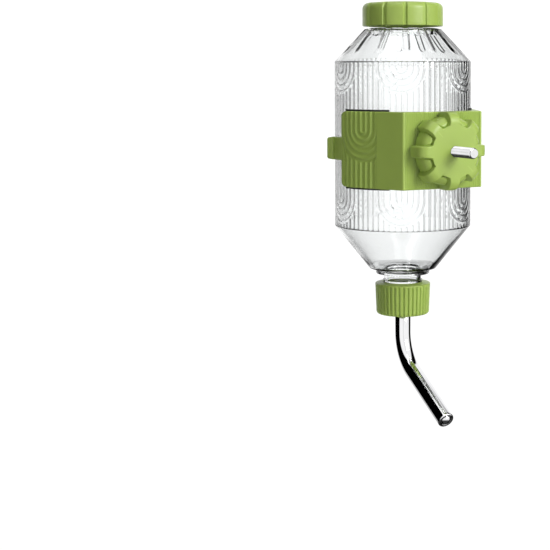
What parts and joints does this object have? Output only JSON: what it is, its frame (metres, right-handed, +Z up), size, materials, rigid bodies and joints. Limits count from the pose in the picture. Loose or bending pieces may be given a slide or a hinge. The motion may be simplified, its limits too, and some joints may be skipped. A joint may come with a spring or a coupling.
{
  "type": "rabbit water bottle",
  "caption": "Clear hanging water bottle with a screw fill cap, a bent ball-valve spout on a ribbed cap, and a spring clip with a stud and lobed knob that clamps it to cage wires.",
  "frame": {"origin": "on the stud's axis in the clip's clamping face, which lies against the cage", "axes": "+X along the stud, out of the clamping face towards the cage; +Z up; the bottle stands at negative X, and the spout reaches to +X under the clip"},
  "size_m": [0.1126, 0.088, 0.2296],
  "materials": {
    "green_plastic": "smooth moulded, satin gloss",
    "clear_plastic": "clear blown shell with raised lines",
    "bright_steel": "polished stainless steel",
    "plain_steel": "pressed stainless sheet",
    "brass": "turned",
    "silicone": "translucent white"
  },
  "bodies": {
    "bracket": {"bracket_clip": "green_plastic", "clamp_stud": "bright_steel"},
    "washer": {"clamp_washer": "plain_steel"},
    "knob": {"clamp_knob": "green_plastic", "knob_insert": "brass"},
    "bottle": {"bottle_shell": "clear_plastic"},
    "fill_seal": {"fill_gasket": "silicone"},
    "lid": {"fill_cap": "green_plastic"},
    "spout_seal": {"spout_gasket": "silicone"},
    "nozzle": {"nozzle_cap": "green_plastic"},
    "spout": {"spout_tube": "bright_steel", "spout_collar": "plain_steel"},
    "ball": {"outlet_ball": "bright_steel"}
  },
  "joints": [
    {"name": "knob_travel", "type": "slide", "parent": "bracket", "child": "washer", "axis": [1, 0, 0], "range_m": [0, 0.02]},
    {"name": "knob_turn", "type": "hinge", "parent": "washer", "child": "knob", "pos_m": [0.005, 0, 0], "axis": [1, 0, 0], "range_deg": [0, 7200]},
    {"name": "bottle_slide", "type": "slide", "parent": "bracket", "child": "bottle", "axis": [0, 0, 1], "range_m": [-0.024, 0.02]},
    {"name": "lid_lift", "type": "slide", "parent": "bottle", "child": "fill_seal", "axis": [0, 0, 1], "range_m": [0, 0.012]},
    {"name": "lid_turn", "type": "hinge", "parent": "fill_seal", "child": "lid", "pos_m": [-0.0437, 0, 0.074], "axis": [0, 0, 1], "range_deg": [0, 1080]},
    {"name": "nozzle_drop", "type": "slide", "parent": "bottle", "child": "spout_seal", "axis": [0, 0, -1], "range_m": [0, 0.014]},
    {"name": "nozzle_turn", "type": "hinge", "parent": "spout_seal", "child": "nozzle", "pos_m": [-0.0437, 0, -0.088], "axis": [0, 0, -1], "range_deg": [0, 1440]},
    {"name": "spout_swivel", "type": "hinge", "parent": "spout_seal", "child": "spout", "pos_m": [-0.0437, 0, -0.095], "axis": [0, 0, 1], "continuous": true},
    {"name": "ball_lift", "type": "slide", "parent": "spout", "child": "ball", "axis": [-0.8721, 0, 0.4894], "range_m": [0, 0.0025]}
  ],
  "couplings": [
    {"joint": "knob_travel", "follows": "knob_turn", "m_per_rad": 0.00015915},
    {"joint": "lid_lift", "follows": "lid_turn", "m_per_rad": 0.00063662},
    {"joint": "nozzle_drop", "follows": "nozzle_turn", "m_per_rad": 0.00055704}
  ]
}
